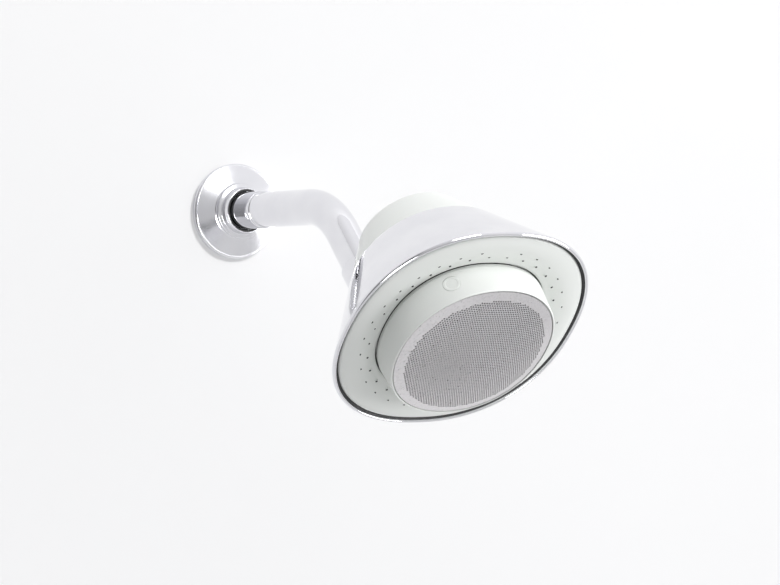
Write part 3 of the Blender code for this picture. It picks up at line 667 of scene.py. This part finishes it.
def build_face():
    outline = [corner(*p, 0.0) for p in FACE_CURVE]
    outline += [corner(48.3, -3.5, 2.22), corner(48.3, -4.05, 2.22), corner(52.6, -4.9),
                corner(52.6, -4.4), corner(69.2, -3.8, 2.26), corner(69.6, -3.6, 2.26)]
    plate = make_object("spray_face", lathe(outline, STEPS, 1.3), HEAD)
    holes = [shifted(rod(NOZZLE_RADIUS + 0.06, -7, 3, 24), x, y) for x, y, _, _ in nozzle_places()]
    cut(plate, merged(holes), HEAD)
    piece(plate, "head", "white_plastic", "face_plate")
    # A black ring sits in the gap between the face plate and the lip, so the line round the plate reads dark.
    dark_ring_outline = [(69.65, -3.6, 2.26), (70.75, -3.6, 2.26), (70.95, -1.5, 2.26), (70.4, -1.3, 2.26),
            (69.65, -2.0, 2.26)]
    piece(make_object("rim_dark_ring", lathe(dark_ring_outline, STEPS, 2.0), HEAD), "head", "rubber")

    studs = []
    bore_shade_plugs = []
    for x, y, height, bore in nozzle_places():
        # Each nozzle also gets a black disc flush under its tip: painted shade standing for the dark of the
        # deep bore.
        bore_shade_plugs.append(shifted(rod(bore + 0.05, height - 1.1, height + 0.0, 24), x, y))
        tip = [corner(bore, height - 2.0), corner(bore, height + 0.08, 2, 0.06),
               corner(NOZZLE_RADIUS, height + 0.02, 2, 0.08), corner(NOZZLE_RADIUS, height - 3.2),
               corner(bore, height - 3.2)]
        studs.append(shifted(lathe(tip, 24, 2.0), x, y))
    studs.append(lathe([(53.3, -6.1), (60.9, -4.4), (60.9, -3.9), (53.3, -5.3)], STEPS, 4.0))
    piece(make_object("nozzle_studs", merged(studs), HEAD), "head", "white_silicone", "nozzle_mat")
    # The black discs are painted shade in the nozzle bores, not a part of the head.
    piece(make_object("nozzle_painted_shade", merged(bore_shade_plugs), HEAD), "head", "rubber")


def build_dock():
    wall = 1.5
    outline = [corner(0, WELL_FLOOR - wall), corner(WELL_RADIUS + wall, WELL_FLOOR - wall, 2, 1.0),
               corner(WELL_RADIUS + wall, DOCK_LEDGE - wall),
               corner(dock_radius(DOCK_LEDGE) + wall, DOCK_LEDGE - wall, 2.1, 0.8),
               corner(dock_radius(-16) + wall, -16.8, 2.13), corner(dock_radius(-5.4) + wall, -5.6, 2.2),
               corner(dock_radius(-4.4) + wall - 0.6, -4.4, 2.2, 0.2),
               corner(dock_radius(-4.4), -4.4, 2.2, 0.3), corner(dock_radius(-16), -16, 2.13),
               corner(dock_radius(DOCK_LEDGE), DOCK_LEDGE, 2.1, 0.6), corner(WELL_RADIUS, DOCK_LEDGE, 2, 0.6),
               corner(WELL_RADIUS, WELL_FLOOR, 2, 0.8), corner(0, WELL_FLOOR)]
    piece(make_object("dock_well", lathe(outline, STEPS, 3.0), HEAD), "head", "inner_plastic", "dock_cup")


COVER_BOLT_RING = 20.0


def build_cover():
    edge = cover_radius(SHELL_BACK + 1.6) - 2.2
    outline = [corner(0, COVER_BACK), corner(COVER_BACK_RADIUS, COVER_BACK, 2, 2.6),
               corner(cover_radius(SHELL_BACK - 0.2), SHELL_BACK - 0.2, 2, 0.3),
               corner(43.9, SHELL_BACK - 0.2), corner(43.9, SHELL_BACK + 1.6), corner(edge, SHELL_BACK + 1.6),
               corner(edge - 2.2, SHELL_BACK - 1.8), corner(COVER_BACK_RADIUS - 1.8, COVER_BACK + 2.2),
               corner(0, COVER_BACK + 2.2)]
    cover = make_object("cover_dome", lathe(outline, STEPS, 2.0), HEAD)
    tools = []
    for quarter in range(4):
        for offset in (-14, 14):
            angle = quarter * 90 + offset
            if abs(angle - 270) > 20:
                hole = rotated(rotated(rod(0.8, 36, 50, 24), 90, "Y"), angle, "Z")
                tools.append(shifted(hole, z=-55))
    for x, y in around(COVER_BOLT_RING, 4, math.pi / 4):
        tools.append(shifted(rod(1.5, COVER_BACK - 1, COVER_BACK + 4, 24), x, y))
    cut(cover, merged(tools), HEAD)
    piece(cover, "head", "white_plastic", "rear_cover")
    for index, (x, y) in enumerate(around(COVER_BOLT_RING, 4, math.pi / 4)):
        head_outline = [corner(0, 9.0), corner(1.15, 7.9), corner(1.15, 0), corner(2.6, 0, 2, 0.2),
                        corner(2.5, -0.9, 2, 0.5), corner(1.4, -1.45, 2, 0.5), corner(0, -1.5)]
        screw = shifted(lathe(head_outline, 48, 0.5), x, y, COVER_BACK - 0.02)
        made = make_object(f"cover_bolt_{index + 1}", screw, HEAD)
        cross = []
        for turn in range(2):
            slot = rounded_block((2.7, 0.62, 2.2), (0, 0, 0), 0.1, 1)
            cross.append(shifted(rotated(slot, 90 * turn + 20 * index, "Z"), x, y, COVER_BACK - 1.5))
        for arm in cross:
            cut(made, arm, HEAD)
        piece(made, "head", "steel", f"cover_screw_{index + 1}")


# Speaker pod

POD_BACK = -43.9
POD_BASE_HALF = 47.7
POD_FRONT_HALF = 47.3
POD_SIDE_HEIGHT = 17.2
RIM_TOP = 16.6
GRILLE_HALF = 45.8
GRILLE_RISE = 6.6
MIC_OFFSET = -36.8
MIC_RADIUS = 0.72
BUTTON_ANGLE = math.radians(123)
BUTTON_HEIGHT = 5.2
BUTTON_RADIUS = 4.7
PORT_OFFSET = 14.0


def button_frame():
    """The button's own frame in the head's: z points out of the pod's side."""
    taper = (POD_BASE_HALF - POD_FRONT_HALF) / POD_SIDE_HEIGHT
    half = POD_BASE_HALF - (BUTTON_HEIGHT + 1.2) * taper
    reach = half * squareness_factor(BUTTON_ANGLE, 2.18)
    side = Vector((math.cos(BUTTON_ANGLE), math.sin(BUTTON_ANGLE), 0))
    lean = math.atan(taper)
    outward = side * math.cos(lean) + Vector((0, 0, 1)) * math.sin(lean)
    place = side * reach + Vector((0, 0, BUTTON_HEIGHT))
    return Matrix.Translation(place) @ outward.to_track_quat("Z", "Y").to_matrix().to_4x4()


def build_pod():
    outline = [corner(POD_BASE_HALF - 0.1, -2.0, 2.22), corner(POD_BASE_HALF, -1.2, 2.22, 0.3),
               corner(POD_FRONT_HALF, 16.0, 2.1, 0.4),
               corner(46.9, RIM_TOP, 2.1, 0.15), corner(46.4, RIM_TOP, 2.1, 0.12), corner(46.25, 15.2, 2.1),
               corner(44.4, 15.0, 2.1), corner(44.4, 8.4, 2.1), corner(37.5, 8.4), corner(37.5, 6.8),
               corner(44.9, 6.8, 2.1), corner(45.1, -1.0, 2.15), corner(44.6, -3.6, 2.15),
               corner(47.4, -3.6, 2.2), corner(47.5, -2.3, 2.2)]
    rim = make_object("pod_rim", lathe(outline, 240, 1.2), HEAD)
    cut(rim, lathe([(0, -2.4), (BUTTON_RADIUS + 0.12, -2.4), (BUTTON_RADIUS + 0.12, 3, 2), (0, 3)], 64),
        HEAD @ button_frame())
    piece(rim, "speaker", "white_plastic", "front_housing")

    cap = [corner(0, -1.4), corner(BUTTON_RADIUS, -1.4), corner(BUTTON_RADIUS, 0.02, 2, 0.25),
           corner(3.5, 0.06, 2, 0.25), corner(3.1, -0.10, 2, 0.25), corner(0, -0.02)]
    piece(make_object("button_cap", lathe(cap, 96, 0.4), HEAD @ button_frame()),
          "power_button", "white_plastic", "power_button")

    gap = 0.5
    back = [corner(0, POD_BACK), corner(dock_radius(POD_BACK) - gap, POD_BACK, 2.1, 2.0),
            corner(dock_radius(-16) - gap, -16, 2.13), corner(dock_radius(-4.8) - gap, -4.8, 2.2, 0.3),
            corner(dock_radius(-4.8) - gap - 1.8, -4.8, 2.2),
            corner(dock_radius(-16) - gap - 1.8, -15.6, 2.13),
            corner(dock_radius(POD_BACK) - gap - 1.8, POD_BACK + 1.8, 2.1), corner(0, POD_BACK + 1.8)]
    rear = make_object("pod_back", lathe(back, STEPS, 3.0), HEAD)
    cut(rear, rounded_block((10.2, 4.4, 8), (0, -PORT_OFFSET, POD_BACK), 0.8), HEAD)
    piece(rear, "speaker", "white_plastic", "rear_housing")
    flap = merged([rounded_block((13, 8, 1.3), (0, -PORT_OFFSET, POD_BACK - 1.0), 0.5),
                   rounded_block((5, 1.2, 0.6), (0, -PORT_OFFSET - 3.2, POD_BACK - 1.75), 0.25)])
    piece(make_object("port_flap", flap, HEAD), "port_cover", "rubber", "port_cover")


HOLE_PITCH = 1.5
HOLE_RADIUS = 0.49
HOLED_HALF = 41.4
SHEET = 0.6


def grille_height(x, y):
    share = min(1.0, half_width(x, y) / GRILLE_HALF)
    return RIM_TOP - 0.2 + GRILLE_RISE * (1 - share ** 2.6)


def build_grille():
    """Perforated dome: a lattice of six-sided cells, each with a hole, inside a plain border."""
    row_pitch = HOLE_PITCH * math.sqrt(3) / 2
    cell = HOLE_PITCH / math.sqrt(3)
    reach = int(HOLED_HALF / row_pitch) + 2
    cells = []
    for row in range(-reach, reach + 1):
        for column in range(-reach, reach + 1):
            x = (column + 0.5 * (row % 2)) * HOLE_PITCH
            y = row * row_pitch
            if half_width(x, y) < HOLED_HALF - 0.5 * HOLE_PITCH:
                cells.append((x, y))
    mic = min(cells, key=lambda spot: math.hypot(spot[0], spot[1] - MIC_OFFSET))
    shape = bmesh.new()
    top, under = {}, {}

    def vertex(x, y, store, drop):
        key = (round(x * 50), round(y * 50))
        if key not in store:
            store[key] = shape.verts.new((x, y, grille_height(x, y) - drop))
        return store[key]

    for x, y in cells:
        rings = []
        hole_radius = MIC_RADIUS if (x, y) == mic else HOLE_RADIUS
        for store, drop in ((top, 0.0), (under, SHEET)):
            outer = []
            hole = []
            for side in range(6):
                angle = math.radians(60 * side + 30)
                after = angle + math.radians(60)
                first = (x + cell * math.cos(angle), y + cell * math.sin(angle))
                last = (x + cell * math.cos(after), y + cell * math.sin(after))
                outer.append(vertex(*first, store, drop))
                for turn in (0, 30):
                    around_hole = angle + math.radians(turn)
                    spot = (x + hole_radius * math.cos(around_hole), y + hole_radius * math.sin(around_hole))
                    hole.append(shape.verts.new((*spot, grille_height(*spot) - drop)))
            rings.append((outer, hole))
            for side in range(6):
                a, b = outer[side], outer[(side + 1) % 6]
                h0, h1, h2 = hole[2 * side], hole[2 * side + 1], hole[(2 * side + 2) % 12]
                faces = [(a, b, h1), (a, h1, h0), (b, h2, h1)]
                for face in faces:
                    shape.faces.new(face if drop == 0 else face[::-1])
        (_, high), (_, low) = rings
        for step in range(12):
            after = (step + 1) % 12
            shape.faces.new((high[step], high[after], low[after], low[step]))
    for store, drop in ((top, 0.0), (under, SHEET)):
        add_border(shape, store, drop)
    rim_top, rim_low = [[store[(GRILLE_HALF, step)] for step in range(BORDER_STEPS)]
                        for store in (top, under)]
    for step in range(len(rim_top)):
        after = (step + 1) % len(rim_top)
        shape.faces.new((rim_top[step], rim_top[after], rim_low[after], rim_low[step]))
    piece(make_object("grille_sheet", shape, HEAD), "speaker", "grille_metal", "grille", sharp=50)


BORDER_STEPS = 180
BORDER_RINGS = (42.6, 43.9, 45.0, GRILLE_HALF)


def border_point(half, step):
    angle = 2 * math.pi * step / BORDER_STEPS
    reach = half * squareness_factor(angle, 2.1)
    return reach * math.cos(angle), reach * math.sin(angle)


def add_border(shape, store, drop):
    """Plain metal between the holed lattice and the rim."""
    known = set(store.values())
    open_edges = [edge for edge in shape.edges
                  if edge.is_boundary and edge.verts[0] in known and edge.verts[1] in known]
    inner = list(dict.fromkeys(v for edge in open_edges for v in edge.verts))
    index = {v: i for i, v in enumerate(inner)}
    points = [Vector((v.co.x, v.co.y)) for v in inner]
    edges = [(index[edge.verts[0]], index[edge.verts[1]]) for edge in open_edges]
    rings = []
    for half in BORDER_RINGS:
        ring = []
        for step in range(BORDER_STEPS):
            x, y = border_point(half, step)
            made = shape.verts.new((x, y, grille_height(x, y) - drop))
            store[(half, step)] = made
            ring.append(made)
        rings.append(ring)
    start = len(points)
    points += [Vector((v.co.x, v.co.y)) for v in rings[0]]
    edges += [(start + step, start + (step + 1) % BORDER_STEPS) for step in range(BORDER_STEPS)]
    everything = inner + rings[0]
    _, _, triangles, origins, _, _ = delaunay_2d_cdt(points, edges, [], 1, 1e-5)
    for triangle in triangles:
        corners = [everything[origins[i][0]] for i in triangle]
        middle = sum((v.co for v in corners), Vector()) / 3
        if inside_lattice(middle.x, middle.y):
            continue
        shape.faces.new(corners if drop == 0 else corners[::-1])
    for low, high in zip(rings, rings[1:]):
        for step in range(BORDER_STEPS):
            after = (step + 1) % BORDER_STEPS
            face = (low[step], high[step], high[after], low[after])
            shape.faces.new(face if drop == 0 else face[::-1])


def inside_lattice(x, y):
    """Whether the lattice cell under a point carries a hole."""
    row_pitch = HOLE_PITCH * math.sqrt(3) / 2
    best = None
    for row in (math.floor(y / row_pitch), math.floor(y / row_pitch) + 1):
        shift = 0.5 * (row % 2)
        for column in (math.floor(x / HOLE_PITCH - shift), math.floor(x / HOLE_PITCH - shift) + 1):
            spot = ((column + shift) * HOLE_PITCH, row * row_pitch)
            distance = math.hypot(x - spot[0], y - spot[1])
            if best is None or distance < best[0]:
                best = (distance, spot)
    return half_width(*best[1]) < HOLED_HALF - 0.5 * HOLE_PITCH


build_arm()
build_flange()
build_swivel()
build_neck()
build_shell()
build_face()
build_dock()
build_cover()
build_pod()
build_grille()


# Room: wall, floor and studio lights

def stage_sheet(name, corners, material):
    mesh = bpy.data.meshes.new(name)
    mesh.from_pydata(corners, [], [tuple(range(len(corners)))])
    made = bpy.data.objects.new(name, mesh)
    bpy.context.scene.collection.objects.link(made)
    made.data.materials.append(material)
    made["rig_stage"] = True
    return made


def wall_material():
    look = Look("pale_wall", (0.93, 0.93, 0.93), 0.9)
    look.set("Base Color", look.tint(look.noise(3), (0.925, 0.925, 0.925), (0.935, 0.935, 0.935)))
    back = look.tree.nodes.new("ShaderNodeBsdfTransparent")
    side = look.tree.nodes.new("ShaderNodeNewGeometry")
    mix = look.tree.nodes.new("ShaderNodeMixShader")
    look.tree.links.new(side.outputs["Backfacing"], mix.inputs["Fac"])
    look.tree.links.new(look.shader.outputs["BSDF"], mix.inputs[1])
    look.tree.links.new(back.outputs["BSDF"], mix.inputs[2])
    output = look.tree.nodes["Material Output"]
    look.tree.links.new(mix.outputs["Shader"], output.inputs["Surface"])
    return look.material


def floor_material():
    look = Look("pale_floor", (0.72, 0.72, 0.72), 0.8)
    look.set("Base Color", look.tint(look.noise(3), (0.71, 0.71, 0.71), (0.73, 0.73, 0.73)))
    return look.material


WALL_HALF = 4.0
FLOOR = -3.0
CEILING = 3.0
stage_sheet("wall", [(-WALL_HALF, 0, FLOOR), (WALL_HALF, 0, FLOOR), (WALL_HALF, 0, CEILING),
                     (-WALL_HALF, 0, CEILING)], wall_material())
stage_sheet("floor", [(-WALL_HALF, -6, FLOOR), (WALL_HALF, -6, FLOOR), (WALL_HALF, 4, FLOOR),
                      (-WALL_HALF, 4, FLOOR)], floor_material())

world = bpy.data.worlds.new("studio")
bpy.context.scene.world = world
world.use_nodes = True
sky = world.node_tree
backdrop = sky.nodes["Background"]
backdrop.inputs["Color"].default_value = (0.985, 0.985, 1.0, 1)
direction = sky.nodes.new("ShaderNodeTexCoord")


def along(axis):
    """How far the looked-at direction leans to an axis, from -1 to 1."""
    lean = sky.nodes.new("ShaderNodeVectorMath")
    lean.operation = "DOT_PRODUCT"
    lean.inputs[1].default_value = Vector(axis).normalized()
    sky.links.new(direction.outputs["Generated"], lean.inputs[0])
    return lean.outputs["Value"]


def ranged(value, low, high, first, last, smooth=False):
    level = sky.nodes.new("ShaderNodeMapRange")
    level.interpolation_type = "SMOOTHSTEP" if smooth else "LINEAR"
    for socket, number in zip(("From Min", "From Max", "To Min", "To Max"), (low, high, first, last)):
        level.inputs[socket].default_value = number
    sky.links.new(value, level.inputs["Value"])
    return level.outputs["Result"]


def combined(operation, first, last=None):
    sum_node = sky.nodes.new("ShaderNodeMath")
    sum_node.operation = operation
    for socket, value in zip(sum_node.inputs, (first, last)):
        if value is not None:
            sky.links.new(value, socket)
    return sum_node.outputs["Value"]


# The studio is brightest at the upper right, with one soft dark gap between its lights at the left
GAP_TURN = math.radians(-50)
GAP_LEVEL = 0.12
gap_across = combined("ABSOLUTE", along((math.cos(GAP_TURN), math.sin(GAP_TURN), 0)))
gap_side = ranged(gap_across, 0.10, 0.24, GAP_LEVEL, 1, True)
gap_height = ranged(combined("ABSOLUTE", along((0, 0, 1))), 0.35, 0.55, GAP_LEVEL, 1, True)
gap_front = ranged(along((math.sin(GAP_TURN), -math.cos(GAP_TURN), 0)), 0.5, 0.3, GAP_LEVEL, 1, True)
gap = combined("MAXIMUM", gap_side, combined("MAXIMUM", gap_height, gap_front))
glow = ranged(along((0.707, 0, 0.707)), -0.9, 0.8, 0.26, 1.0)
sky.links.new(combined("MULTIPLY", glow, gap), backdrop.inputs["Strength"])


def soft_light(name, place, target, size, power, colour=(1, 1, 1)):
    light = bpy.data.lights.new(name, "AREA")
    light.shape = "RECTANGLE"
    light.size, light.size_y = size
    light.energy = power
    light.color = colour
    made = bpy.data.objects.new(name, light)
    bpy.context.scene.collection.objects.link(made)
    made.location = place
    made.rotation_euler = (Vector(target) - Vector(place)).to_track_quat("-Z", "Y").to_euler()
    return made


def group(name, members):
    made = bpy.data.collections.new(name)
    for member in members:
        made.objects.link(member)
    return made


SHOWN = [thing for thing in bpy.context.scene.objects if thing.type == "MESH" and not thing.get("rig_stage")]
ALL_PIECES = group("all_pieces", SHOWN)
BUT_GRILLE = group("but_grille", [thing for thing in SHOWN if "grille" not in thing.name])
ROOM = group("room", [thing for thing in bpy.context.scene.objects if thing.get("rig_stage")])
FLANGE_ONLY = group("flange_only", [bpy.data.objects["flange_disc"]])
KEY_POWER = 47
TOP_POWER = 37
WASH_POWER = 98
GLINT_POWER = 42
MIDDLE = (0, -0.2, -0.05)
key = soft_light("key", (2.2, -1.9, -0.1), MIDDLE, (1.6, 1.6), KEY_POWER)
key.light_linking.receiver_collection = BUT_GRILLE
top = soft_light("top", (0.1, -2.5, 1.9), MIDDLE, (1.2, 1.2), TOP_POWER)
top.light_linking.receiver_collection = BUT_GRILLE
wash = soft_light("wash", (1.8, -3.2, 2.6), (0, 0, -0.1), (0.9, 0.9), WASH_POWER)
wash.light_linking.receiver_collection = ROOM
wash.light_linking.blocker_collection = FLANGE_ONLY
glint = soft_light("glint", (-1.6, -2.2, -1.2), MIDDLE, (1.2, 1.2), GLINT_POWER)
glint.light_linking.receiver_collection = ALL_PIECES
glint.visible_diffuse = False

bpy.context.scene.view_settings.view_transform = "Standard"
